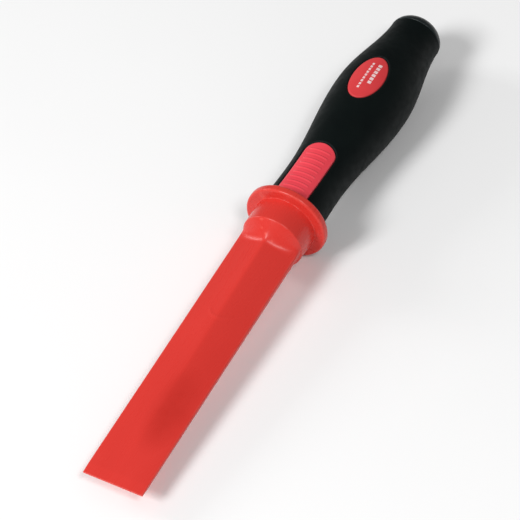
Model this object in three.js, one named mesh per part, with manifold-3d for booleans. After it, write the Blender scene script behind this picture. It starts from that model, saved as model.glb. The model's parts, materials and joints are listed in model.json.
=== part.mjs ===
// Flat plastic chisel with a round hand guard and a two-component handle.
// Millimetres, +Z up. The tool lies along X with its tip at +X and its thumb rest up.
// Each piece is drawn about the tool's own axis, with x = 0 on the guard's front face.
// A nested group then moves the middle of the overall length to x = 0 and lifts the axis, so
// that z = 0 is the lowest point of the guard.

import * as THREE from 'three';
import { ConvexGeometry } from 'three/addons/geometries/ConvexGeometry.js';
import { mergeVertices } from 'three/addons/utils/BufferGeometryUtils.js';
import Module from 'manifold-3d';

const wasm = await Module();
wasm.setup();

// ---- driving dimensions ----------------------------------------------------------------

const TIP_X = 161.1;                // working edge, ahead of the guard's front face
const BUTT_X = -146.7;              // rear end of the handle
const GAP = 0.3;                    // clearance between neighbouring pieces
const SIDES = 32;                   // flats round every revolved piece

// Blade: a flat lozenge section, thick along its centre line at the root, thin at the tip.
const BLADE_WIDTH = 30;
const ROOT_X = 13.2;                // front rim of the collar, where the blade starts
const ROOT_RIDGE = 8.2;             // half thickness on the centre line at the root
const ROOT_EDGE = 1.2;              // half thickness at the side edges at the root
const TIP_RIDGE = 1.0;              // half thicknesses where the tip bevel starts
const TIP_EDGE = 0.8;
const TIP_LIP = 0.45;               // half thickness of the blunt working edge
const BEVEL_LENGTH = 5;
const TIP_DROP = 9.4;               // how far the tip's mid plane lies below the tool axis
const BLADE_STEPS = 10;
const NOSE_LENGTH = 5;              // from the collar's round rim to the full blade section

// Hand guard and collar, moulded in one with the blade.
const GUARD_RADIUS = 20.7;
const GUARD_BACK = -4.1;
const GUARD_RIM_ROUND = 1.2;
const GUARD_FILLET = 0.7;
const COLLAR_REAR_RADIUS = 15.7;
const COLLAR_RIM_RADIUS = 15.4;
const COLLAR_EDGE_ROUND = 0.7;

// Tang, steel core bar and the pin that locks the tang in the handle.
const TANG_BACK = -86;
const TANG_WIDTH = 14;
const TANG_HEIGHT = 12;
const BAR_FRONT = 65.8;
const BAR_WIDTH = 12;
const BAR_THICKNESS = 3;
const BAR_Z = -2.8;
const PIN_X = -62;
const PIN_Z = 2.6;
const PIN_RADIUS = 2;
const PIN_LENGTH = 26;

// Handle: the outside radius swells from a neck to a belly and narrows again to the tail.
const GRIP_FRONT = GUARD_BACK - GAP;
const GRIP_BACK = -137.4;
const MOUTH_FLARE = 0.9;
const NECK_X = -28.1;
const NECK_RADIUS = 14.6;
const BELLY_X = -89.6;
const BELLY_RADIUS = 19.7;
const TAIL_X = -139.2;
const TAIL_RADIUS = 13.3;
const GRIP_WALL = 2.6;

// Thumb rest, a ribbed tongue of the hard core that shows through the soft grip.
const TONGUE_HALF_WIDTH = 8.1;
const TONGUE_BACK = -41.6;
const TONGUE_END_LENGTH = 5.6;
const RIB_COUNT = 9;
const RIB_PITCH = 3.25;
const FIRST_RIB_X = -10.7;
const RIB_LENGTH = 1.1;
const RIB_WIDTH = 11;
const RIB_HEIGHT = 0.4;

// Oval label on a pad of the core, sunk just below the grip's surface.
const LABEL_X = -87.1;
const LABEL_HALF_LENGTH = 14.6;
const LABEL_HALF_WIDTH = 8.1;
const LABEL_THICKNESS = 1.0;
const LABEL_SINK = 0.2;

// End cap: a dome with a spigot that is pressed into the core.
const CAP_FRONT = GRIP_BACK - GAP;
const CAP_RADIUS = 13.4;
const CAP_STEPS = 8;
const SPIGOT_RADIUS = 7;
const SPIGOT_LENGTH = 14;

const MIDDLE_X = (TIP_X + BUTT_X) / 2;
const AXIS_Z = GUARD_RADIUS;

// ---- helpers ---------------------------------------------------------------------------

const CORNER_SCALE = 1 / Math.cos(Math.PI / SIDES);

// Turns a closed three.js geometry into a manifold solid whose faces point outwards.
function solid(geometry) {
  geometry.deleteAttribute('normal');
  geometry.deleteAttribute('uv');
  const merged = mergeVertices(geometry, 1e-4);
  const mesh = new wasm.Mesh({
    numProp: 3,
    vertProperties: Float32Array.from(merged.attributes.position.array),
    triVerts: Uint32Array.from(merged.index.array),
  });
  mesh.merge();
  return new wasm.Manifold(mesh);
}

// Turns a manifold solid back into a three.js geometry.
function geometryOf(body) {
  const mesh = body.getMesh();
  const geometry = new THREE.BufferGeometry();
  geometry.setAttribute('position', new THREE.BufferAttribute(mesh.vertProperties, 3));
  geometry.setIndex(new THREE.BufferAttribute(mesh.triVerts, 1));
  geometry.computeVertexNormals();
  return geometry;
}

// Revolves an outline of [x, radius] points, listed from -X to +X, about the tool axis.
// The flats of the many-sided result, not its corners, lie at the stated radius.
function revolve(outline) {
  const points = outline.map(([x, radius]) => new THREE.Vector2(radius * CORNER_SCALE, x));
  const lathe = new THREE.LatheGeometry(points, SIDES, Math.PI / SIDES);
  lathe.rotateZ(-Math.PI / 2);
  return solid(lathe);
}

// A box between two corners.
function box(low, high) {
  const size = high.map((value, i) => value - low[i]);
  const geometry = new THREE.BoxGeometry(...size);
  geometry.translate(...low.map((value, i) => value + size[i] / 2));
  return solid(geometry);
}

// A flat shape in plan, extruded upwards from z = bottom to z = top.
function prism(shape, bottom, top) {
  const geometry = new THREE.ExtrudeGeometry(shape, {
    depth: top - bottom,
    bevelEnabled: false,
    curveSegments: 24,
  });
  geometry.translate(0, 0, bottom);
  return solid(geometry);
}

// Points on a quarter circle in the [x, radius] plane, from one angle to another.
function quarter(centreX, centreRadius, round, fromDegrees, toDegrees, steps = 4) {
  const points = [];
  for (let i = 0; i <= steps; i += 1) {
    const angle = THREE.MathUtils.degToRad(fromDegrees + (toDegrees - fromDegrees) * i / steps);
    points.push([centreX + round * Math.cos(angle), centreRadius + round * Math.sin(angle)]);
  }
  return points;
}

// A smooth step from 0 to 1 that is level at both ends.
function swell(t) {
  return (1 - Math.cos(Math.PI * t)) / 2;
}

// Outside radius of the soft grip at a station along the handle.
function gripRadius(x) {
  if (x > NECK_X) {
    const t = (x - NECK_X) / (GRIP_FRONT - NECK_X);
    return NECK_RADIUS + MOUTH_FLARE * t * t;
  }
  if (x > BELLY_X) {
    return NECK_RADIUS + (BELLY_RADIUS - NECK_RADIUS) * swell((NECK_X - x) / (NECK_X - BELLY_X));
  }
  return BELLY_RADIUS - (BELLY_RADIUS - TAIL_RADIUS) * swell((BELLY_X - x) / (BELLY_X - TAIL_X));
}

// Stations from one end of the grip to the other, with the radius at a given depth below it.
function handleLine(fromX, toX, depth, steps) {
  const line = [];
  for (let i = 0; i <= steps; i += 1) {
    const x = fromX + (toX - fromX) * i / steps;
    line.push([x, gripRadius(x) - depth]);
  }
  return line;
}

// A solid of revolution that follows the handle at a given depth below the grip's surface.
function handleBody(fromX, toX, depth, steps) {
  return revolve([[fromX, 0], ...handleLine(fromX, toX, depth, steps), [toX, 0]]);
}

// ---- blade moulding --------------------------------------------------------------------

// Six corners of a lozenge section about a mid plane at z = mid.
function lozenge(x, mid, edge, ridge) {
  const half = BLADE_WIDTH / 2;
  return [
    [half, edge], [0, ridge], [-half, edge],
    [-half, -edge], [0, -ridge], [half, -edge],
  ].map(([y, z]) => new THREE.Vector3(x, y, mid + z));
}

// The blade's section at a station: its mid plane falls evenly from the root to the tip, and
// it thins evenly from the root to the start of the tip bevel.
function bladeSection(x) {
  const mid = -TIP_DROP * (x - ROOT_X) / (TIP_X - ROOT_X);
  const t = (x - ROOT_X) / (TIP_X - BEVEL_LENGTH - ROOT_X);
  const edge = THREE.MathUtils.lerp(ROOT_EDGE, TIP_EDGE, t);
  const ridge = THREE.MathUtils.lerp(ROOT_RIDGE, TIP_RIDGE, t);
  return lozenge(x, mid, edge, ridge);
}

function hull(...sections) {
  return solid(new ConvexGeometry(sections.flat()));
}

// The faces are ruled, not flat, so the blade is a row of short hulls between stations.
function bladeSolid() {
  const bevelStart = TIP_X - BEVEL_LENGTH;
  const stations = [];
  for (let i = 0; i <= BLADE_STEPS; i += 1) {
    stations.push(bladeSection(THREE.MathUtils.lerp(ROOT_X, bevelStart, i / BLADE_STEPS)));
  }
  stations.push(lozenge(TIP_X, -TIP_DROP, TIP_LIP, TIP_LIP));
  const hulls = stations.slice(1).map((station, i) => hull(stations[i], station));
  return wasm.Manifold.union(hulls);
}

// The nose leads from the collar's rounded rim to the blade's section a little way ahead.
function nose() {
  const rimX = ROOT_X - COLLAR_EDGE_ROUND / 2;
  const cornerRadius = (COLLAR_RIM_RADIUS - COLLAR_EDGE_ROUND / 4) * CORNER_SCALE;
  const rim = [];
  for (let i = 0; i < SIDES; i += 1) {
    const angle = (i + 0.5) * 2 * Math.PI / SIDES;
    const y = cornerRadius * Math.sin(angle);
    const z = cornerRadius * Math.cos(angle);
    rim.push(new THREE.Vector3(rimX, y, z));
  }
  return hull(rim, bladeSection(ROOT_X + NOSE_LENGTH));
}

// Guard disc and the slightly tapered collar in front of it.
function guardAndCollar() {
  const rimCentre = GUARD_RADIUS - GUARD_RIM_ROUND;
  const filletRadius = COLLAR_REAR_RADIUS + GUARD_FILLET;
  const edgeX = ROOT_X - COLLAR_EDGE_ROUND;
  return revolve([
    [GUARD_BACK, 0],
    ...quarter(GUARD_BACK + GUARD_RIM_ROUND, rimCentre, GUARD_RIM_ROUND, 180, 90),
    ...quarter(-GUARD_RIM_ROUND, rimCentre, GUARD_RIM_ROUND, 90, 0),
    ...quarter(GUARD_FILLET, filletRadius, GUARD_FILLET, 180, 270),
    ...quarter(edgeX, COLLAR_RIM_RADIUS - COLLAR_EDGE_ROUND, COLLAR_EDGE_ROUND, 90, 0, 3),
    [ROOT_X, 0],
  ]);
}

function tang() {
  const halfWidth = TANG_WIDTH / 2;
  const halfHeight = TANG_HEIGHT / 2;
  return box([TANG_BACK, -halfWidth, -halfHeight], [GUARD_BACK + 1, halfWidth, halfHeight]);
}

// Plan outline of the flat core bar: square at the back, round at the front.
function barShape(backX, frontX, halfWidth) {
  const shape = new THREE.Shape();
  const centreX = frontX - halfWidth;
  shape.moveTo(backX, -halfWidth);
  shape.lineTo(centreX, -halfWidth);
  shape.absarc(centreX, 0, halfWidth, -Math.PI / 2, Math.PI / 2, false);
  shape.lineTo(backX, halfWidth);
  shape.closePath();
  return shape;
}

function coreBar(backX, clearance) {
  const shape = barShape(backX, BAR_FRONT + clearance, BAR_WIDTH / 2 + clearance);
  const halfThickness = BAR_THICKNESS / 2 + clearance;
  return prism(shape, BAR_Z - halfThickness, BAR_Z + halfThickness);
}

// A round pin across the handle, along Y.
function crossPin(radius, length) {
  const pin = new THREE.CylinderGeometry(radius, radius, length, 16);
  pin.translate(PIN_X, 0, PIN_Z);
  return solid(pin);
}

function bladeMoulding() {
  const pocketBack = TANG_BACK - 1;
  return guardAndCollar()
    .add(nose())
    .add(bladeSolid())
    .add(tang())
    .subtract(coreBar(pocketBack, GAP))
    .subtract(crossPin(PIN_RADIUS + GAP, TANG_WIDTH + 2));
}

// ---- handle ----------------------------------------------------------------------------

// Plan outline of the thumb rest: straight sides and an elliptical back end.
function tongueShape(frontX, grow) {
  const halfWidth = TONGUE_HALF_WIDTH + grow;
  const endLength = TONGUE_END_LENGTH + grow;
  const centreX = TONGUE_BACK + TONGUE_END_LENGTH;
  const shape = new THREE.Shape();
  shape.moveTo(frontX, halfWidth);
  shape.lineTo(centreX, halfWidth);
  shape.absellipse(centreX, 0, endLength, halfWidth, Math.PI / 2, Math.PI * 3 / 2, false, 0);
  shape.lineTo(frontX, -halfWidth);
  shape.closePath();
  return shape;
}

function labelShape(grow) {
  const shape = new THREE.Shape();
  const length = LABEL_HALF_LENGTH + grow;
  const width = LABEL_HALF_WIDTH + grow;
  shape.absellipse(LABEL_X, 0, length, width, 0, Math.PI * 2, false, 0);
  return shape;
}

const ABOVE_HANDLE = 30;            // a height above the axis that clears the whole handle

// Ribs across the thumb rest, each a short slice of a slightly larger handle.
function thumbRibs() {
  const skin = handleBody(TONGUE_BACK, GRIP_FRONT, -RIB_HEIGHT, 12);
  const half = RIB_WIDTH / 2;
  const slices = [];
  for (let i = 0; i < RIB_COUNT; i += 1) {
    const x = FIRST_RIB_X - i * RIB_PITCH;
    slices.push(box([x - RIB_LENGTH / 2, -half, 0], [x + RIB_LENGTH / 2, half, ABOVE_HANDLE]));
  }
  return wasm.Manifold.union(slices).intersect(skin);
}

function handleCore() {
  const buried = GRIP_WALL + GAP;
  const bore = [TANG_WIDTH / 2 + GAP, TANG_HEIGHT / 2 + GAP];
  const tongue = prism(tongueShape(GRIP_FRONT, 0), 0, ABOVE_HANDLE)
    .intersect(handleBody(TONGUE_BACK - 1, GRIP_FRONT, 0, 12));
  const labelPad = prism(labelShape(0), 0, ABOVE_HANDLE)
    .intersect(handleBody(GRIP_BACK, GRIP_FRONT, LABEL_SINK + LABEL_THICKNESS + GAP, 40));
  const socketFloor = CAP_FRONT + SPIGOT_LENGTH + GAP;
  const socket = SPIGOT_RADIUS + GAP;
  return handleBody(GRIP_BACK, GRIP_FRONT, buried, 24)
    .add(tongue)
    .add(labelPad)
    .add(thumbRibs())
    .subtract(box([TANG_BACK - GAP, -bore[0], -bore[1]], [GUARD_BACK, bore[0], bore[1]]))
    .subtract(revolve([[BUTT_X, 0], [BUTT_X, socket], [socketFloor, socket], [socketFloor, 0]]))
    .subtract(crossPin(PIN_RADIUS + GAP, PIN_LENGTH + 20));
}

function softGrip() {
  const skin = handleLine(GRIP_BACK, GRIP_FRONT, 0, 32);
  const lining = handleLine(GRIP_FRONT, GRIP_BACK, GRIP_WALL, 24);
  return revolve([...skin, ...lining, skin[0]])
    .subtract(prism(tongueShape(GUARD_BACK, GAP), 0, ABOVE_HANDLE))
    .subtract(prism(labelShape(GAP), 0, ABOVE_HANDLE));
}

function ovalLabel() {
  const top = handleBody(GRIP_BACK, GRIP_FRONT, LABEL_SINK, 40);
  const underside = handleBody(GRIP_BACK, GRIP_FRONT, LABEL_SINK + LABEL_THICKNESS, 40);
  return prism(labelShape(0), 0, ABOVE_HANDLE).intersect(top).subtract(underside);
}

function endCap() {
  const spigotTip = CAP_FRONT + SPIGOT_LENGTH;
  const domeDepth = CAP_FRONT - BUTT_X;
  const outline = [];
  for (let i = 0; i <= CAP_STEPS; i += 1) {
    const angle = Math.PI / 2 * i / CAP_STEPS;
    outline.push([CAP_FRONT - domeDepth * Math.cos(angle), CAP_RADIUS * Math.sin(angle)]);
  }
  outline.push([CAP_FRONT, SPIGOT_RADIUS], [spigotTip, SPIGOT_RADIUS], [spigotTip, 0]);
  return revolve(outline);
}

// ---- scene graph -----------------------------------------------------------------------

function material(color, roughness, metalness = 0) {
  return new THREE.MeshStandardMaterial({ color, roughness, metalness });
}

const bladeRed = material(0xd2382c, 0.5);
const coreRed = material(0xdc3c48, 0.42);
const labelRed = material(0xc43038, 0.4);
const gripBlack = material(0x14181a, 0.7);
const capBlack = material(0x12181a, 0.4);
const steel = material(0x8c9094, 0.35, 1);

const group = new THREE.Group();
const tool = new THREE.Group();
tool.position.set(-MIDDLE_X, 0, AXIS_Z);
group.add(tool);

function addPiece(name, body, finish) {
  const mesh = new THREE.Mesh(geometryOf(body), finish);
  mesh.name = name;
  tool.add(mesh);
}

addPiece('blade_moulding', bladeMoulding(), bladeRed);
addPiece('steel_core_bar', coreBar(TANG_BACK, 0), steel);
addPiece('tang_pin', crossPin(PIN_RADIUS, PIN_LENGTH), steel);
addPiece('handle_core', handleCore(), coreRed);
addPiece('soft_grip', softGrip(), gripBlack);
addPiece('oval_label', ovalLabel(), labelRed);
addPiece('end_cap', endCap(), capBlack);

export default group;
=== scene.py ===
"""Looks of the flat plastic chisel: fine meshes, materials, studio light and camera."""

import json
import math

import bmesh
import bpy
import numpy as np
from mathutils import Matrix, Vector


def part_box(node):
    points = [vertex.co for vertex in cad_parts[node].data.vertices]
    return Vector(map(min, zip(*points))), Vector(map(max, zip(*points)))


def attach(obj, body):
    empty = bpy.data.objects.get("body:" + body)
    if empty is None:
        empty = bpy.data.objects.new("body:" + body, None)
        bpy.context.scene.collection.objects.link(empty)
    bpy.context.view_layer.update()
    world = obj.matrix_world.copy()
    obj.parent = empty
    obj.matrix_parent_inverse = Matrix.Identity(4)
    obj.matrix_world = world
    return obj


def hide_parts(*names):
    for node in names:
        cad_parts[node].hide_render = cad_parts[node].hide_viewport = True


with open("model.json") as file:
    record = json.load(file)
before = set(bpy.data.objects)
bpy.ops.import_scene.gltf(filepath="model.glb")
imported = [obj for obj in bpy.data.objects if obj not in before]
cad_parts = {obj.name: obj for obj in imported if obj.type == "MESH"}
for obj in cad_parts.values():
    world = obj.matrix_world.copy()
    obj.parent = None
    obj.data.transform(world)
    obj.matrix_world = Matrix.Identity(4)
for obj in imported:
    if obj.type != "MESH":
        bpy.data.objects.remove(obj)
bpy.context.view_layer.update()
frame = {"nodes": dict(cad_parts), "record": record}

MM = 0.001

# ---- places and sizes read from the frame ------------------------------------------------

blade_low, blade_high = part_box("blade_moulding")
grip_low, grip_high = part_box("soft_grip")
label_low, label_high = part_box("oval_label")
cap_low, cap_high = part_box("end_cap")
bar_low, bar_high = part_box("steel_core_bar")

GUARD_FRONT = frame["record"]["mounts"][0]["pos_m"][0]
GUARD_RADIUS = (blade_high.y - blade_low.y) / 2
AXIS_Z = blade_low.z + GUARD_RADIUS
TIP_X = blade_high.x
TANG_BACK = blade_low.x
GRIP_FRONT = grip_high.x
GRIP_BACK = grip_low.x
BELLY_RADIUS = (grip_high.y - grip_low.y) / 2
LABEL_X = (label_low.x + label_high.x) / 2
LABEL_HALF_LENGTH = (label_high.x - label_low.x) / 2
LABEL_HALF_WIDTH = (label_high.y - label_low.y) / 2
BUTT_X = cap_low.x
CAP_RADIUS = (cap_high.y - cap_low.y) / 2
SPIGOT_TIP = cap_high.x
BAR_HALF_WIDTH = (bar_high.y - bar_low.y) / 2
BAR_HALF_HEIGHT = (bar_high.z - bar_low.z) / 2
BAR_Z = (bar_high.z + bar_low.z) / 2
BAR_END_CENTRE = bar_high.x - BAR_HALF_WIDTH


def station(distance):
    """The x of a place given in millimetres ahead of the guard's front face."""
    return GUARD_FRONT + distance * MM


# ---- driving dimensions that the boxes don't hold ------------------------------------------

GAP = 0.3 * MM
SLIVER = 0.002 * MM
NEARLY_ZERO = 1e-9

GUARD_BACK = GRIP_FRONT + GAP
GUARD_BACK_RADII = (12 * MM, 18 * MM)
GUARD_RIM_ROUND = 1.2 * MM
GUARD_FILLET = 0.4 * MM
COLLAR_REAR_RADIUS = 15.7 * MM
COLLAR_RIM_RADIUS = 15.4 * MM
COLLAR_EDGE_ROUND = 0.9 * MM
ROOT_X = station(13.2)
NOSE_LENGTH = 5.2 * MM
NOSE_SIDE_LENGTH = 4.4 * MM
NOSE_START_DEGREES = 34
NOSE_ZONE = 12 * MM
NOSE_FILLET_SHARE = 0.55
NOSE_FILLET_RAMP = 1.2 * MM

BLADE_HALF_WIDTH = 15 * MM
ROOT_RIDGE = 8.2 * MM
ROOT_EDGE = 1.2 * MM
TIP_RIDGE = 1.0 * MM
TIP_EDGE = 0.8 * MM
TIP_LIP = 0.45 * MM
BEVEL_LENGTH = 5 * MM
TIP_DROP = 9.4 * MM
RIDGE_ROUND = 0.06
EDGE_ROUND = 0.35 * MM
EDGE_ROUND_SHARE = 0.8
WITNESS_HEIGHT = 0.16 * MM
WITNESS_WIDTH = 0.55 * MM
WITNESS_RISE = 1.5
# Middle and reach of a darker patch on the blade's right half, towards the tip.
DARK_PATCH_PLACE = (station(118), 5 * MM, AXIS_Z)
DARK_PATCH_SIZE = (20 * MM, 8 * MM, 40 * MM)
TANG_HALF_WIDTH = 7 * MM
TANG_HALF_HEIGHT = 6 * MM

NECK_X = station(-28.1)
NECK_RADIUS = 14.6 * MM
MOUTH_FLARE = 0.9 * MM
BELLY_X = station(-89.6)
TAIL_X = station(-139.2)
TAIL_RADIUS = 13.3 * MM
GRIP_WALL = 2.6 * MM
GRIP_END_ROUND = 0.4 * MM

TONGUE_HALF_WIDTH = 8.1 * MM
TONGUE_BACK = station(-41.6)
TONGUE_END_LENGTH = 5.6 * MM
TONGUE_ROUND = 0.9 * MM
TONGUE_ROUND_SHARE = 0.5
RIB_COUNT = 9
RIB_PITCH = 3.25 * MM
FIRST_RIB_X = station(-10.7)
RIB_LENGTH = 0.8 * MM
RIB_HALF_WIDTH = 5.7 * MM
RIB_HEIGHT = 0.2 * MM
RIB_STEEPNESS = 1.7
RIB_END = 0.6 * MM

GROOVE = 0.35 * MM
WALL_FADE = 6 * MM
LIP_ROUND = 0.6 * MM
LABEL_SINK = 0.2 * MM
LABEL_THICKNESS = 1.0 * MM
LABEL_ROUND = 0.5 * MM
PRINT_LIFT = 0.03 * MM
PRINT_SINK = 0.1 * MM

CAP_LIP = 0.4 * MM
SPIGOT_RADIUS = 7 * MM
SOCKET_RADIUS = SPIGOT_RADIUS + GAP


# ---- how finely the meshes are divided ---------------------------------------------------------

SECTION_POINTS = 81
SECTION_CROWDING = 1.15
NOSE_STEPS = 60
NOSE_CROWDING = 1.2
BLADE_STEPS = 189
BEVEL_STEPS = 11
ROUND_POINTS = 160
DOME_RINGS = 28
LABEL_TOP_RINGS = 24
LABEL_ROUND_RINGS = 9
LABEL_UNDER_RINGS = 16
LABEL_MIDDLE_SHARE = 0.03
STROKE_POINTS = (3, 6)

PLAIN_STEP = 1.1 * MM
END_STEP = 0.1 * MM
END_LENGTH = 0.5 * MM
PLAIN_TURN = math.radians(3.5)
WINDOW_MARGIN = 1.5 * MM
WINDOW_HALF_TURN = math.radians(40)
TOP_COSINE = 0.3
ON_RIM = 0.02 * MM
SNAP_ROUNDS = 3

# Spacing along the thumb rest, spacing along the label, and columns across the windows.
GRIP_GRID = (0.33 * MM, 0.42 * MM, 104)
CORE_GRID = (0.21 * MM, 0.22 * MM, 134)


# ---- shape helpers -------------------------------------------------------------------------

def swell(t):
    """A smooth step from 0 to 1 that is level at both ends."""
    return (1 - np.cos(np.pi * np.clip(t, 0, 1))) / 2


def rounding(inside, round_):
    """How far a rounded edge has dropped at a distance inside it."""
    left = round_ - np.clip(inside, 0, round_)
    return round_ - np.sqrt(round_ ** 2 - left ** 2)


def grip_radius(x):
    """Outside radius of the soft grip at a station along the handle."""
    x = np.asarray(x, float)
    mouth = NECK_RADIUS + MOUTH_FLARE * ((x - NECK_X) / (GRIP_FRONT - NECK_X)) ** 2
    front = NECK_RADIUS + (BELLY_RADIUS - NECK_RADIUS) * swell((NECK_X - x) / (NECK_X - BELLY_X))
    back = BELLY_RADIUS - (BELLY_RADIUS - TAIL_RADIUS) * swell((BELLY_X - x) / (BELLY_X - TAIL_X))
    return np.where(x > NECK_X, mouth, np.where(x > BELLY_X, front, back))


def smooth_max(a, b, blend):
    """The larger of two surfaces, with a fillet of about the blend's size where they meet."""
    near = np.clip(1 - np.abs(a - b) / np.maximum(blend, NEARLY_ZERO), 0, 1)
    return np.maximum(a, b) + near ** 2 * blend / 4


def arc(centre_x, centre_r, round_, from_degrees, to_degrees, steps=8):
    """Points on an arc in the (x, radius) plane."""
    angles = np.radians(np.linspace(from_degrees, to_degrees, steps + 1))
    return [(centre_x + round_ * math.cos(a), centre_r + round_ * math.sin(a)) for a in angles]


def graded(*parts):
    """Stations over touching stretches, each given as (start, end, spacing)."""
    runs = []
    for start, end, spacing in parts:
        count = max(1, round(abs(end - start) / spacing))
        runs.append(np.linspace(start, end, count + 1)[:-1])
    runs.append([parts[-1][1]])
    return np.concatenate(runs)


def ring(x, y, z):
    """Points at one station, with y and z measured from the tool axis."""
    return np.stack([np.full(len(y), x), y, AXIS_Z + z], axis=-1)


def circle(x, radius, angles):
    """Points round the tool axis at one station."""
    return ring(x, radius * np.sin(angles), radius * np.cos(angles))


def clean_up(mesh):
    """Drops points that no face uses and slivers, and turns a closed body's faces outward."""
    work = bmesh.new()
    work.from_mesh(mesh)
    loose = [point for point in work.verts if not point.link_faces]
    bmesh.ops.delete(work, geom=loose, context="VERTS")
    bmesh.ops.dissolve_degenerate(work, dist=SLIVER, edges=work.edges)
    if work.calc_volume(signed=True) < 0:
        bmesh.ops.reverse_faces(work, faces=work.faces)
    work.to_mesh(mesh)
    work.free()


def mesh_object(name, points, faces, sharp_degrees=50):
    """An object with a smooth-shaded mesh, creased only where faces meet sharply."""
    mesh = bpy.data.meshes.new(name)
    mesh.from_pydata(np.asarray(points).tolist(), [], faces)
    clean_up(mesh)
    mesh.shade_smooth()
    mesh.set_sharp_from_angle(angle=math.radians(sharp_degrees))
    thing = bpy.data.objects.new(name, mesh)
    bpy.context.scene.collection.objects.link(thing)
    return thing


def grid_faces(rows, width):
    """Faces of a tube of rows, each row a closed ring."""
    faces = []
    for i in range(rows - 1):
        for j in range(width):
            k = (j + 1) % width
            faces.append((i * width + k, i * width + j, (i + 1) * width + j, (i + 1) * width + k))
    return faces


def skin(name, rings, sharp_degrees=50):
    """A closed body over rings of equal length, with a fan over the first and last ring."""
    count = len(rings)
    width = len(rings[0])
    faces = grid_faces(count, width)
    first, last = count * width, count * width + 1
    base = (count - 1) * width
    for j in range(width):
        k = (j + 1) % width
        faces.append((first, j, k))
        faces.append((last, base + k, base + j))
    middles = [np.mean(rings[0], axis=0), np.mean(rings[-1], axis=0)]
    points = np.concatenate([np.concatenate(rings), middles])
    return mesh_object(name, points, faces, sharp_degrees)


def drill_pin_hole(thing):
    """Cuts the cross pin's hole, with its clearance, sideways through a piece."""
    pin_low, pin_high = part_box("tang_pin")
    radius = (pin_high.z - pin_low.z) / 2 + GAP
    place = Matrix.Translation((pin_low + pin_high) / 2) @ Matrix.Rotation(math.pi / 2, 4, "X")
    mesh = bpy.data.meshes.new("pin_hole")
    work = bmesh.new()
    bmesh.ops.create_cone(work, cap_ends=True, segments=48, radius1=radius, radius2=radius,
                          depth=2 * BELLY_RADIUS, matrix=place)
    work.to_mesh(mesh)
    work.free()
    cutter = bpy.data.objects.new("pin_hole", mesh)
    bpy.context.scene.collection.objects.link(cutter)
    cut = thing.modifiers.new("pin_hole", "BOOLEAN")
    cut.operation = "DIFFERENCE"
    cut.solver = "EXACT"
    cut.object = cutter
    shown = thing.evaluated_get(bpy.context.evaluated_depsgraph_get())
    drilled = bpy.data.meshes.new_from_object(shown)
    thing.modifiers.clear()
    thing.data = drilled
    bpy.data.objects.remove(cutter)


def add_piece(thing, node, material):
    """Hooks a piece to the frame in place of a CAD node and material."""
    thing.data.materials.clear()
    thing.data.materials.append(material)
    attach(thing, "root")
    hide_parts(node)
    return thing


# ---- materials -----------------------------------------------------------------------------

# Each pair holds a surface's darkest and lightest tone. Edge tones show on convex edges: rubbed
# edges on most parts, and on the blade a painted highlight.
BLADE_TONES = ((0.63, 0.033, 0.024), (0.71, 0.042, 0.032))
BLADE_EDGE_HIGHLIGHT = (0.82, 0.12, 0.09)
# Darker tone of the patch on the blade's right half.
BLADE_DARK_PATCH = (0.47, 0.018, 0.011)
CORE_TONES = ((0.80, 0.054, 0.078), (0.88, 0.066, 0.092))
CORE_EDGE = (0.88, 0.15, 0.16)
LABEL_TONES = ((0.64, 0.042, 0.048), (0.71, 0.052, 0.058))
LABEL_EDGE = (0.72, 0.09, 0.09)
PRINT_TONES = ((0.80, 0.50, 0.50), (0.88, 0.74, 0.74))
GRIP_TONES = ((0.0010, 0.0030, 0.0030), (0.0020, 0.0046, 0.0044))
GRIP_EDGE = (0.010, 0.015, 0.015)
CAP_TONES = ((0.0022, 0.0060, 0.0064), (0.0040, 0.0086, 0.0090))
CAP_EDGE = (0.020, 0.028, 0.030)
STEEL_TONES = ((0.42, 0.43, 0.45), (0.60, 0.61, 0.63))
PAPER_TONES = ((0.95, 0.95, 0.95), (0.97, 0.97, 0.97))
FLAT_POINTINESS = 0.505
SHARP_POINTINESS = 0.56


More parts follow.
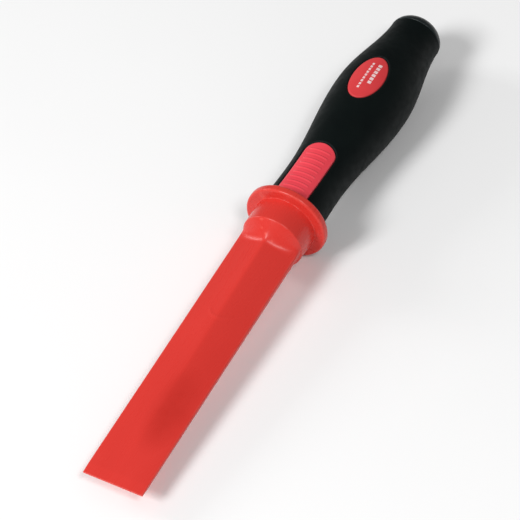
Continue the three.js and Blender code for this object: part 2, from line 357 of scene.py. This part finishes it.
class Nodes:
    """A short way to write a node material."""

    def __init__(self, name):
        self.material = bpy.data.materials.new(name)
        self.material.use_nodes = True
        self.tree = self.material.node_tree
        self.shader = self.tree.nodes["Principled BSDF"]
        self.place = self.tree.nodes.new("ShaderNodeTexCoord").outputs["Object"]

    def set(self, **values):
        """Sets the shader's own sockets, named with underscores for spaces."""
        for name, value in values.items():
            self.shader.inputs[name.replace("_", " ")].default_value = value

    def link(self, output, target):
        self.tree.links.new(output, target)

    def noise(self, scale, detail=3, place=None):
        node = self.tree.nodes.new("ShaderNodeTexNoise")
        node.inputs["Scale"].default_value = scale
        node.inputs["Detail"].default_value = detail
        self.link(place or self.place, node.inputs["Vector"])
        return node.outputs["Fac"]

    def cells(self, scale):
        node = self.tree.nodes.new("ShaderNodeTexVoronoi")
        node.inputs["Scale"].default_value = scale
        self.link(self.place, node.inputs["Vector"])
        return node.outputs["Distance"]

    def stretched(self, x, y, z):
        node = self.tree.nodes.new("ShaderNodeMapping")
        node.inputs["Scale"].default_value = (x, y, z)
        self.link(self.place, node.inputs["Vector"])
        return node.outputs["Vector"]

    def from_point(self, place, size):
        """How far a point is from a place, measured in the size given for each axis."""
        offset = self.tree.nodes.new("ShaderNodeVectorMath")
        offset.operation = "SUBTRACT"
        self.link(self.place, offset.inputs[0])
        offset.inputs[1].default_value = place
        scaled = self.tree.nodes.new("ShaderNodeVectorMath")
        scaled.operation = "DIVIDE"
        self.link(offset.outputs["Vector"], scaled.inputs[0])
        scaled.inputs[1].default_value = size
        length = self.tree.nodes.new("ShaderNodeVectorMath")
        length.operation = "LENGTH"
        self.link(scaled.outputs["Vector"], length.inputs[0])
        return length.outputs["Value"]

    def ramp(self, value, low, high, from_=0.35, to=0.65):
        """Maps a texture value between two numbers."""
        node = self.tree.nodes.new("ShaderNodeMapRange")
        node.inputs["From Min"].default_value = from_
        node.inputs["From Max"].default_value = to
        node.inputs["To Min"].default_value = low
        node.inputs["To Max"].default_value = high
        self.link(value, node.inputs["Value"])
        return node.outputs["Result"]

    def mix(self, factor, first, second):
        """Mixes two colours, each a tuple or another node's output."""
        node = self.tree.nodes.new("ShaderNodeMix")
        node.data_type = "RGBA"
        self.link(factor, node.inputs["Factor"])
        first_color, second_color, mixed_color = node.inputs[6], node.inputs[7], node.outputs[2]
        for value, socket in ((first, first_color), (second, second_color)):
            if isinstance(value, tuple):
                socket.default_value = (*value, 1)
            else:
                self.link(value, socket)
        return mixed_color

    def tones(self, value, pair):
        """Spreads a surface's two tones over a texture value."""
        return self.mix(self.ramp(value, 0, 1), *pair)

    def product(self, first, second):
        node = self.tree.nodes.new("ShaderNodeMath")
        node.operation = "MULTIPLY"
        self.link(first, node.inputs[0])
        self.link(second, node.inputs[1])
        return node.outputs[0]

    def edges(self, strength):
        """A mask that is 0 on flat and hollow places and reaches strength on convex edges."""
        node = self.tree.nodes.new("ShaderNodeNewGeometry")
        return self.ramp(node.outputs["Pointiness"], 0, strength, FLAT_POINTINESS, SHARP_POINTINESS)

    def color(self, output):
        self.link(output, self.shader.inputs["Base Color"])

    def roughness(self, output):
        self.link(output, self.shader.inputs["Roughness"])

    def bump(self, height, distance, strength=1.0):
        node = self.tree.nodes.new("ShaderNodeBump")
        node.inputs["Distance"].default_value = distance
        node.inputs["Strength"].default_value = strength
        self.link(height, node.inputs["Height"])
        self.link(node.outputs["Normal"], self.shader.inputs["Normal"])


def blade_nylon():
    """Satin glass-filled nylon: cloudy flow tone, fine moulded grain, a darker patch towards the tip
    and paler edges that are a painted highlight.
    """
    m = Nodes("blade_nylon")
    m.set(Specular_IOR_Level=0.32)
    flow = m.noise(22, detail=3, place=m.stretched(0.3, 1, 1))
    tone = m.tones(flow, BLADE_TONES)
    # A darker patch over the blade's right half towards the tip, broken up by noise.
    around_patch = m.ramp(m.from_point(DARK_PATCH_PLACE, DARK_PATCH_SIZE), 0.75, 0, 0.2, 1.3)
    patch_mask = m.product(around_patch, m.ramp(m.noise(90, detail=3), 0.6, 1))
    with_dark_patch = m.mix(patch_mask, tone, BLADE_DARK_PATCH)
    scuffs = m.noise(420, detail=4, place=m.stretched(0.25, 1, 1))
    # Paler colour on the convex edges, broken up by scuff noise: a painted highlight.
    edge_highlight = m.product(m.edges(0.5), m.ramp(scuffs, 0.4, 1))
    m.color(m.mix(edge_highlight, with_dark_patch, BLADE_EDGE_HIGHLIGHT))
    m.roughness(m.ramp(scuffs, 0.25, 0.32))
    m.bump(m.noise(2600, detail=2), 0.03 * MM, 0.6)
    return m.material


def core_plastic():
    """Semi-gloss polypropylene, a little pinker than the blade."""
    m = Nodes("core_plastic")
    m.set(Specular_IOR_Level=0.32)
    flow = m.noise(60, detail=2)
    tone = m.tones(flow, CORE_TONES)
    m.color(m.mix(m.edges(0.5), tone, CORE_EDGE))
    m.roughness(m.ramp(m.noise(900), 0.34, 0.44))
    m.bump(m.noise(3000, detail=2), 0.02 * MM, 0.5)
    return m.material


def label_plastic():
    """Semi-gloss deep red plate under the print."""
    m = Nodes("label_plastic")
    m.set(Specular_IOR_Level=0.25)
    flow = m.noise(90, detail=3)
    tone = m.tones(flow, LABEL_TONES)
    m.color(m.mix(m.edges(0.3), tone, LABEL_EDGE))
    m.roughness(m.ramp(m.noise(1200), 0.38, 0.48))
    m.bump(m.noise(3500, detail=2), 0.015 * MM, 0.5)
    return m.material


def print_white():
    """Pad-printed white ink, thin enough for the red to show through in places."""
    m = Nodes("print_white")
    m.set(Specular_IOR_Level=0.4)
    cover = m.noise(1500, detail=3)
    m.color(m.tones(cover, PRINT_TONES))
    m.roughness(m.ramp(cover, 0.45, 0.6))
    m.bump(cover, 0.01 * MM, 0.5)
    return m.material


def grip_rubber():
    """Matt black soft rubber with a fine pebbled skin and greyer rubbed swells."""
    m = Nodes("grip_rubber")
    m.set(Specular_IOR_Level=0.10)
    dust = m.noise(70, detail=4)
    tone = m.tones(dust, GRIP_TONES)
    m.color(m.mix(m.edges(0.5), tone, GRIP_EDGE))
    m.roughness(m.ramp(m.noise(260), 0.52, 0.64))
    m.bump(m.cells(1500), 0.04 * MM, 0.5)
    return m.material


def cap_plastic():
    """Smooth hard black plastic of the end cap."""
    m = Nodes("cap_plastic")
    m.set(Specular_IOR_Level=0.3)
    tone = m.tones(m.noise(120, detail=3), CAP_TONES)
    m.color(m.mix(m.edges(0.4), tone, CAP_EDGE))
    m.roughness(m.ramp(m.noise(500), 0.30, 0.42))
    m.bump(m.noise(2200, detail=2), 0.02 * MM, 0.5)
    return m.material


def hidden_steel():
    """Drawn steel with fine lines along the tool."""
    m = Nodes("hidden_steel")
    m.set(Metallic=1.0)
    lines = m.noise(900, detail=3, place=m.stretched(0.03, 1, 1))
    m.color(m.tones(lines, STEEL_TONES))
    m.roughness(m.ramp(lines, 0.28, 0.42))
    m.bump(lines, 0.02 * MM, 0.5)
    return m.material


# ---- blade moulding ------------------------------------------------------------------------

def blade_mid(x):
    """Height of the blade's mid plane above the tool axis."""
    return -TIP_DROP * np.clip((x - ROOT_X) / (TIP_X - ROOT_X), 0, 1)


def blade_halves(x):
    """Half thickness at the side edges and on the centre line at a station of the blade."""
    bevel_start = TIP_X - BEVEL_LENGTH
    t = np.clip((x - ROOT_X) / (bevel_start - ROOT_X), 0, 1)
    bevel = np.clip((x - bevel_start) / BEVEL_LENGTH, 0, 1)
    edge = ROOT_EDGE + (TIP_EDGE - ROOT_EDGE) * t
    ridge = ROOT_RIDGE + (TIP_RIDGE - ROOT_RIDGE) * t
    return edge + (TIP_LIP - edge) * bevel, ridge + (TIP_LIP - ridge) * bevel


def blade_section(x):
    """Closed ring of (y, z) points of the lozenge section about its own middle."""
    edge, ridge = blade_halves(x)
    corner = min(EDGE_ROUND, edge * EDGE_ROUND_SHARE)
    reach = BLADE_HALF_WIDTH - corner
    spread = np.linspace(1, -1, SECTION_POINTS)
    across = np.sign(spread) * np.abs(spread) ** SECTION_CROWDING
    roof = 1 - (np.sqrt(across ** 2 + RIDGE_ROUND ** 2) - RIDGE_ROUND)
    top = np.stack([across * reach, edge + (ridge - edge) * roof], axis=-1)
    turns = np.radians(np.linspace(90, 0, 5)[1:-1])
    corner_points = [
        (reach + corner * math.cos(turn), edge - corner + corner * math.sin(turn)) for turn in turns
    ]
    flat = [(BLADE_HALF_WIDTH, f * (edge - corner)) for f in np.linspace(1, 0, 5)]
    side = np.array(corner_points + flat)
    side = np.concatenate([side, side[-2::-1] * (1, -1)])
    return np.concatenate([top, side * (-1, 1), top[::-1] * (1, -1), side[::-1]])


def circle_reach(radius, offset, directions):
    """Distance from a point offset above a circle's centre to the circle, along directions."""
    rise = directions[:, 1] * offset
    return -rise + np.sqrt(radius ** 2 - offset ** 2 + rise ** 2)


def box_reach(half_width, half_height, directions, offset=0.0):
    """Distance from a point offset above a rectangle's centre to its outline, along directions."""
    sideways = half_width / np.maximum(np.abs(directions[:, 0]), NEARLY_ZERO)
    room = np.where(directions[:, 1] > 0, half_height - offset, half_height + offset)
    return np.minimum(sideways, room / np.maximum(np.abs(directions[:, 1]), NEARLY_ZERO))


def witness(x, y):
    """Faint raised line over the round end of the steel bar inside the blade."""
    radius = np.hypot(x - BAR_END_CENTRE, y)
    line = np.exp(-((radius - BAR_HALF_WIDTH) / WITNESS_WIDTH) ** 2)
    ahead = np.clip((x - BAR_END_CENTRE) / BAR_HALF_WIDTH, 0, 1)
    return WITNESS_HEIGHT * line * swell(ahead * WITNESS_RISE)


def pocket_and_tang(directions):
    """Rings from the front end of the bar's pocket back to the tang's end, and over the tang."""
    half = BAR_HALF_WIDTH + GAP
    height = BAR_HALF_HEIGHT + GAP
    centre_z = BAR_Z - AXIS_Z
    rings = []
    for turn in np.radians(np.linspace(75, 0, 6)):
        reach = box_reach(half * math.cos(turn), height, directions)
        flat = directions * reach[:, None]
        rings.append(ring(BAR_END_CENTRE + half * math.sin(turn), flat[:, 0], centre_z + flat[:, 1]))
    flat = directions * box_reach(half, height, directions)[:, None]
    rings.append(ring(TANG_BACK, flat[:, 0], centre_z + flat[:, 1]))
    reach = box_reach(TANG_HALF_WIDTH, TANG_HALF_HEIGHT, directions, centre_z)
    flat = directions * reach[:, None]
    rings.append(ring(TANG_BACK, flat[:, 0], centre_z + flat[:, 1]))
    rings.append(ring(GUARD_BACK, flat[:, 0], centre_z + flat[:, 1]))
    return rings


def guard_outline():
    """Outline of guard and collar as (x, radius) points, from the back face to the front rim."""
    rim_centre = GUARD_RADIUS - GUARD_RIM_ROUND
    outline = [(GUARD_BACK, radius) for radius in GUARD_BACK_RADII]
    outline += arc(GUARD_BACK + GUARD_RIM_ROUND, rim_centre, GUARD_RIM_ROUND, 180, 90)
    outline += arc(GUARD_FRONT - GUARD_RIM_ROUND, rim_centre, GUARD_RIM_ROUND, 90, 0)
    fillet_x = GUARD_FRONT + GUARD_FILLET
    outline += arc(fillet_x, COLLAR_REAR_RADIUS + GUARD_FILLET, GUARD_FILLET, 180, 270, steps=6)
    edge_x = ROOT_X - COLLAR_EDGE_ROUND
    for share in np.linspace(0, 1, 5)[1:-1]:
        x = fillet_x + (edge_x - fillet_x) * share
        outline.append((x, COLLAR_REAR_RADIUS + (COLLAR_RIM_RADIUS - COLLAR_REAR_RADIUS) * share))
    edge_radius = COLLAR_RIM_RADIUS - COLLAR_EDGE_ROUND
    outline += arc(edge_x, edge_radius, COLLAR_EDGE_ROUND, 90, NOSE_START_DEGREES, steps=6)
    return outline


def nose_reach(x, start_x, start_radius, section, directions):
    """Reach of the nose that leads from the collar's round rim into the blade's section."""
    mid = float(blade_mid(x))
    flat_reach = np.linalg.norm(section, axis=1)
    round_reach = circle_reach(start_radius, mid, directions)
    share_across = np.abs(section[:, 0]) / BLADE_HALF_WIDTH
    length = NOSE_LENGTH + (NOSE_SIDE_LENGTH - NOSE_LENGTH) * share_across
    drop = round_reach - flat_reach
    nose = round_reach - drop * (x - start_x) / length
    fillet = NOSE_FILLET_SHARE * np.maximum(drop, 0) * min(1, (x - start_x) / NOSE_FILLET_RAMP)
    return smooth_max(nose, flat_reach, fillet)


def blade():
    """Tang, guard, collar, nose and blade as one closed skin of rings along the tool."""
    root = blade_section(ROOT_X)
    directions = root / np.linalg.norm(root, axis=1)[:, None]
    rings = pocket_and_tang(directions)
    outline = guard_outline()
    for x, radius in outline:
        rings.append(ring(x, radius * directions[:, 0], radius * directions[:, 1]))

    start_x, start_radius = outline[-1]
    nose_end = start_x + NOSE_ZONE
    along_nose = np.linspace(0, 1, NOSE_STEPS + 1)[1:] ** NOSE_CROWDING
    bevel_start = TIP_X - BEVEL_LENGTH
    stations = np.concatenate([
        start_x + (nose_end - start_x) * along_nose,
        np.linspace(nose_end, bevel_start, BLADE_STEPS + 1)[1:],
        np.linspace(bevel_start, TIP_X, BEVEL_STEPS + 1)[1:],
    ])
    for x in stations:
        section = blade_section(x)
        directions = section / np.linalg.norm(section, axis=1)[:, None]
        reach = np.linalg.norm(section, axis=1)
        if x < nose_end:
            reach = nose_reach(x, start_x, start_radius, section, directions)
        y = reach * directions[:, 0]
        z = float(blade_mid(x)) + reach * directions[:, 1]
        rings.append(ring(x, y, z + witness(x, y) * (directions[:, 1] > 0)))
    thing = skin("blade", rings, sharp_degrees=40)
    drill_pin_hole(thing)
    return add_piece(thing, "blade_moulding", blade_nylon())


# ---- handle --------------------------------------------------------------------------------

def ellipse_distance(x, y, a, b):
    """Signed distance in plan from an ellipse about the origin, close to true near its outline."""
    scaled = np.sqrt((x / a) ** 2 + (y / b) ** 2)
    steep = np.sqrt((x / a ** 2) ** 2 + (y / b ** 2) ** 2)
    return scaled * (scaled - 1) / np.maximum(steep, NEARLY_ZERO)


def tongue_distance(x, y, grow=0.0):
    """Signed distance in plan from the thumb rest's outline, positive outside."""
    half = TONGUE_HALF_WIDTH + grow
    length = TONGUE_END_LENGTH + grow
    centre = TONGUE_BACK + TONGUE_END_LENGTH
    side = np.abs(y) - half
    rounded = ellipse_distance(np.minimum(x - centre, 0), y, length, half)
    return np.where(x > centre, side, rounded)


def label_distance(x, y, grow=0.0):
    """Signed distance in plan from the label's outline, positive outside."""
    return ellipse_distance(x - LABEL_X, y, LABEL_HALF_LENGTH + grow, LABEL_HALF_WIDTH + grow)


def window_distance(x, y, grow):
    """Signed distance from the nearer of the grip's two windows."""
    return np.minimum(tongue_distance(x, y, grow), label_distance(x, y, grow))


def on_top(angle):
    """Whether points are on the side of the handle that has the two windows."""
    return np.cos(angle) > TOP_COSINE


def handle_grid(tongue_spacing, label_spacing, window_columns):
    """Stations and angles of the handle's grid, closer together at the two windows."""
    label_back = LABEL_X - LABEL_HALF_LENGTH - WINDOW_MARGIN
    label_front = LABEL_X + LABEL_HALF_LENGTH + WINDOW_MARGIN
    tongue_back = TONGUE_BACK - WINDOW_MARGIN
    front_end = GRIP_FRONT - END_LENGTH
    back_end = GRIP_BACK + END_LENGTH
    x = graded(
        (GRIP_FRONT, front_end, END_STEP),
        (front_end, tongue_back, tongue_spacing),
        (tongue_back, label_front, PLAIN_STEP),
        (label_front, label_back, label_spacing),
        (label_back, back_end, PLAIN_STEP),
        (back_end, GRIP_BACK, END_STEP),
    )
    half = WINDOW_HALF_TURN
    in_windows = (-half, half, 2 * half / window_columns)
    angles = graded(in_windows, (half, 2 * np.pi - half, PLAIN_TURN))[:-1]
    return np.meshgrid(x, angles, indexing="ij")


def snap_to_outline(x, y, moved, grow):
    """Moves the marked points in plan onto the windows' outline."""
    nudge = 0.05 * MM
    for _ in range(SNAP_ROUNDS):
        distance = window_distance(x, y, grow)
        ahead = window_distance(x + nudge, y, grow) - window_distance(x - nudge, y, grow)
        aside = window_distance(x, y + nudge, grow) - window_distance(x, y - nudge, grow)
        x = np.where(moved, x - distance * ahead / (2 * nudge), x)
        y = np.where(moved, y - distance * aside / (2 * nudge), y)
    return x, y


def cut_cells(x, angle, grow):
    """Marks the grid's cells inside a window, and moves the corners on its rim to the outline."""
    y = grip_radius(x) * np.sin(angle)
    next_x, next_y = np.roll(x, -1, axis=1), np.roll(y, -1, axis=1)
    middle_x = (x[:-1] + x[1:] + next_x[:-1] + next_x[1:]) / 4
    middle_y = (y[:-1] + y[1:] + next_y[:-1] + next_y[1:]) / 4
    inside = on_top(angle[:-1]) & (window_distance(middle_x, middle_y, grow) < 0)
    touched_in = np.zeros(x.shape, bool)
    touched_out = np.zeros(x.shape, bool)
    for mark, cells in ((touched_in, inside), (touched_out, ~inside)):
        for rows in (slice(0, -1), slice(1, None)):
            mark[rows] |= cells | np.roll(cells, 1, axis=1)
    rim = touched_in & touched_out
    rim[0] = False
    x, y = snap_to_outline(x, y, rim, grow)
    angle = np.where(rim, np.arcsin(np.clip(y / grip_radius(x), -1, 1)), angle)
    return x, angle, inside


def on_handle(x, angle, depth):
    """Points at a depth below the grip's surface."""
    radius = grip_radius(x) - depth
    return np.stack([x, radius * np.sin(angle), AXIS_Z + radius * np.cos(angle)], axis=-1)


def soft_grip():
    """The overmould: a wall with two windows cut right through, all its rims rounded."""
    x, angle = handle_grid(*GRIP_GRID)
    x, angle, inside = cut_cells(x, angle, GROOVE)
    rows, width = x.shape
    y = grip_radius(x) * np.sin(angle)
    distance = np.where(on_top(angle), window_distance(x, y, GROOVE), WALL_FADE)
    ends = rounding(GRIP_FRONT - x, GRIP_END_ROUND) + rounding(x - GRIP_BACK, GRIP_END_ROUND)
    depth = np.minimum(rounding(distance, LIP_ROUND) + ends, 2 * LIP_ROUND)
    outer = on_handle(x, angle, depth).reshape(-1, 3)
    near = np.clip(1 - distance / WALL_FADE, 0, 1) * on_top(angle)
    slope = np.arcsin(y / grip_radius(x))
    upright = np.arcsin(np.clip(y / (grip_radius(x) - GRIP_WALL), -1, 1))
    inner = on_handle(x, angle + near * (upright - slope), GRIP_WALL).reshape(-1, 3)
    count = rows * width
    faces = []
    for i in range(rows - 1):
        for j in range(width):
            if inside[i, j]:
                continue
            k = (j + 1) % width
            a, b = i * width + j, i * width + k
            c, d = b + width, a + width
            faces.append((b, a, d, c))
            faces.append((count + a, count + b, count + c, count + d))
            if i == 0 or inside[i - 1, j]:
                faces.append((a, b, count + b, count + a))
            if i == rows - 2 or inside[i + 1, j]:
                faces.append((c, d, count + d, count + c))
            if inside[i, j - 1]:
                faces.append((d, a, count + a, count + d))
            if inside[i, k]:
                faces.append((b, c, count + c, count + b))
    thing = mesh_object("grip", np.concatenate([outer, inner]), faces, sharp_degrees=55)
    return add_piece(thing, "soft_grip", grip_rubber())


def ribs(x, y):
    """Height of the ribs across the thumb rest."""
    height = np.zeros(x.shape)
    for i in range(RIB_COUNT):
        along = np.abs(x - (FIRST_RIB_X - i * RIB_PITCH)) / RIB_LENGTH
        height = np.maximum(height, np.exp(-(along * RIB_STEEPNESS) ** 4))
    fade = np.clip((RIB_HALF_WIDTH - np.abs(y)) / RIB_END, 0, 1)
    return RIB_HEIGHT * height * swell(fade)


def handle_core():
    """The hard core: thumb rest and label pad on a body with a tang bore and a cap socket."""
    x, angle = handle_grid(*CORE_GRID)
    x, angle, _ = cut_cells(x, angle, 0.0)
    y = grip_radius(x) * np.sin(angle)
    above = on_top(angle)
    from_tongue = tongue_distance(x, y)
    from_label = label_distance(x, y)
    thumb_rest = rounding(-from_tongue, TONGUE_ROUND) * TONGUE_ROUND_SHARE - ribs(x, y)
    pad = LABEL_SINK + LABEL_THICKNESS + GAP
    depth = np.full(x.shape, GRIP_WALL + GAP)
    depth = np.where(above & (from_label < ON_RIM), pad, depth)
    depth = np.where(above & (from_tongue < ON_RIM), thumb_rest, depth)
    outer = on_handle(x, angle, depth)

    angles = angle[-1]
    directions = np.stack([np.sin(angles), np.cos(angles)], axis=-1)
    bore = directions * box_reach(TANG_HALF_WIDTH + GAP, TANG_HALF_HEIGHT + GAP, directions)[:, None]
    socket_floor = SPIGOT_TIP + GAP
    rings = [ring(TANG_BACK - GAP, bore[:, 0], bore[:, 1]), ring(GRIP_FRONT, bore[:, 0], bore[:, 1])]
    rings += list(outer)
    rings += [circle(x, SOCKET_RADIUS, angles) for x in (GRIP_BACK, socket_floor)]
    thing = skin("core", rings, sharp_degrees=45)
    drill_pin_hole(thing)
    return add_piece(thing, "handle_core", core_plastic())


def oval_label():
    """The oval plate: crowned with the handle and rounded at its rim."""
    angles = np.linspace(0, 2 * np.pi, ROUND_POINTS, endpoint=False)
    inner_share = 1 - LABEL_ROUND / LABEL_HALF_WIDTH

    def plate_ring(share, depth):
        x = LABEL_X + LABEL_HALF_LENGTH * share * np.cos(angles)
        y = LABEL_HALF_WIDTH * share * np.sin(angles)
        radius = grip_radius(x) - depth
        return np.stack([x, y, AXIS_Z + np.sqrt(radius ** 2 - y ** 2)], axis=-1)

    top = np.linspace(LABEL_MIDDLE_SHARE, inner_share, LABEL_TOP_RINGS)
    rings = [plate_ring(share, LABEL_SINK) for share in top]
    for turn in np.linspace(0, np.pi / 2, LABEL_ROUND_RINGS + 1)[1:]:
        share = inner_share + (1 - inner_share) * math.sin(turn)
        rings.append(plate_ring(share, LABEL_SINK + LABEL_ROUND * (1 - math.cos(turn))))
    for share in np.linspace(1, LABEL_MIDDLE_SHARE, LABEL_UNDER_RINGS):
        rings.append(plate_ring(share, LABEL_SINK + LABEL_THICKNESS))
    thing = skin("label_plate", rings)
    return add_piece(thing, "oval_label", label_plastic())


def stroke_body(left, right, middle, height):
    """One printed stroke that follows the plate's crown, with edges given in millimetres."""
    rows, width = STROKE_POINTS
    xs = LABEL_X + np.linspace(left, right, rows) * MM
    ys = np.linspace(middle - height / 2, middle + height / 2, width) * MM
    points = []
    for lift in (PRINT_LIFT, -PRINT_SINK):
        for x in xs:
            for y in ys:
                radius = float(grip_radius(x)) - LABEL_SINK + lift
                points.append((x, y, AXIS_Z + math.sqrt(radius ** 2 - y ** 2)))
    count = rows * width
    faces = []
    for i in range(rows - 1):
        for j in range(width - 1):
            a, b = i * width + j, i * width + j + 1
            faces.append((a, a + width, b + width, b))
            faces.append((count + a, count + b, count + b + width, count + a + width))
    border = list(range(width))
    border += [i * width + width - 1 for i in range(1, rows)]
    border += [(rows - 1) * width + j for j in range(width - 2, -1, -1)]
    border += [i * width for i in range(rows - 2, 0, -1)]
    for a, b in zip(border, border[1:] + border[:1]):
        faces.append((a, b, count + b, count + a))
    return points, faces


def label_print():
    """Two rows of plain dashes, a hair above the plate."""
    # Middle and height across the plate, start along it, dash length, pitch (mm), count.
    rows = [
        (-1.2, 1.1, -9.2, 1.4, 2.1, 9),
        (2.5, 1.8, -9.2, 1.7, 2.4, 6),
    ]
    points, faces = [], []
    for middle, height, start, stroke, pitch, count in rows:
        for i in range(count):
            left = start + i * pitch
            stroke_points, stroke_faces = stroke_body(left, left + stroke, middle, height)
            faces += [tuple(len(points) + c for c in face) for face in stroke_faces]
            points += stroke_points
    thing = mesh_object("label_print", points, faces, sharp_degrees=30)
    return add_piece(thing, "oval_label", print_white())


def end_cap():
    """The domed cap with a rolled front edge at the seam, and its hidden spigot."""
    cap_front = GRIP_BACK - GAP
    depth = cap_front - BUTT_X
    outline = []
    for turn in np.radians(np.linspace(3, 84, DOME_RINGS)):
        outline.append((cap_front - depth * math.cos(turn), CAP_RADIUS * math.sin(turn)))
    outline += arc(cap_front - CAP_LIP, CAP_RADIUS - CAP_LIP, CAP_LIP, 90, 0, steps=6)
    outline.append((cap_front, SPIGOT_RADIUS))
    outline.append((SPIGOT_TIP - CAP_LIP, SPIGOT_RADIUS))
    outline.append((SPIGOT_TIP, SPIGOT_RADIUS - CAP_LIP))
    angles = np.linspace(0, 2 * np.pi, ROUND_POINTS, endpoint=False)
    rings = [circle(x, radius, -angles) for x, radius in outline]
    thing = skin("cap", rings)
    return add_piece(thing, "end_cap", cap_plastic())


# ---- stage ---------------------------------------------------------------------------------

def camera():
    """A long lens looking down along the tool from its tip side, turned slightly clockwise."""
    azimuth = math.radians(121.3)
    elevation = math.radians(47.9)
    turn = math.radians(-4.19)
    distance = 1.2184
    towards = Vector((
        math.sin(azimuth) * math.cos(elevation),
        -math.cos(azimuth) * math.cos(elevation),
        math.sin(elevation),
    ))
    right = Vector((0, 0, 1)).cross(towards).normalized()
    up = towards.cross(right)
    turned_right = right * math.cos(turn) + up * math.sin(turn)
    turned_up = up * math.cos(turn) - right * math.sin(turn)
    middle = Vector((station(25.5), 0.73 * MM, AXIS_Z))
    nudge = 0.23 * MM
    target = middle + (turned_up - turned_right) * nudge
    lens = bpy.data.cameras.new("camera")
    lens.sensor_width = 36
    lens.lens = 183.28
    lens.clip_end = 20
    thing = bpy.data.objects.new("camera", lens)
    rotation = Matrix((turned_right, turned_up, towards)).transposed()
    thing.matrix_world = Matrix.Translation(target + towards * distance) @ rotation.to_4x4()
    bpy.context.scene.collection.objects.link(thing)
    bpy.context.scene.camera = thing


def softbox(name, direction, distance, size, watts):
    """A square area light that looks at the tool from a direction."""
    light = bpy.data.lights.new(name, "AREA")
    light.size = size
    light.energy = watts
    thing = bpy.data.objects.new(name, light)
    towards = Vector(direction).normalized()
    thing.location = Vector((0, 0, AXIS_Z)) + towards * distance
    thing.rotation_euler = towards.to_track_quat("Z", "Y").to_euler()
    bpy.context.scene.collection.objects.link(thing)


def studio():
    """Pale floor, dim even surroundings and soft lights from the tip end and the left side."""
    half = 3.0
    corners = [(-half, -half, 0), (half, -half, 0), (half, half, 0), (-half, half, 0)]
    floor = mesh_object("floor", corners, [(0, 1, 2, 3)])
    m = Nodes("floor_paper")
    m.set(Specular_IOR_Level=0.1)
    m.color(m.tones(m.noise(4), PAPER_TONES))
    m.roughness(m.ramp(m.noise(300), 0.85, 0.95))
    floor.data.materials.append(m.material)

    world = bpy.data.worlds.new("studio")
    world.use_nodes = True
    background = world.node_tree.nodes["Background"]
    background.inputs["Color"].default_value = (1, 1, 1, 1)
    background.inputs["Strength"].default_value = 0.24
    bpy.context.scene.world = world
    bpy.context.scene.view_settings.view_transform = "Standard"
    softbox("key", (0.66, -0.28, 0.70), distance=2.8, size=0.8, watts=50)
    softbox("front", (0.38, 0.44, 0.80), distance=1.8, size=0.35, watts=9)
    softbox("side", (0.05, -0.92, 0.40), distance=1.6, size=0.5, watts=6)


camera()
studio()
blade()
soft_grip()
handle_core()
oval_label()
label_print()
end_cap()
steel = hidden_steel()
for node in ("steel_core_bar", "tang_pin"):
    frame["nodes"][node].data.materials.clear()
    frame["nodes"][node].data.materials.append(steel)
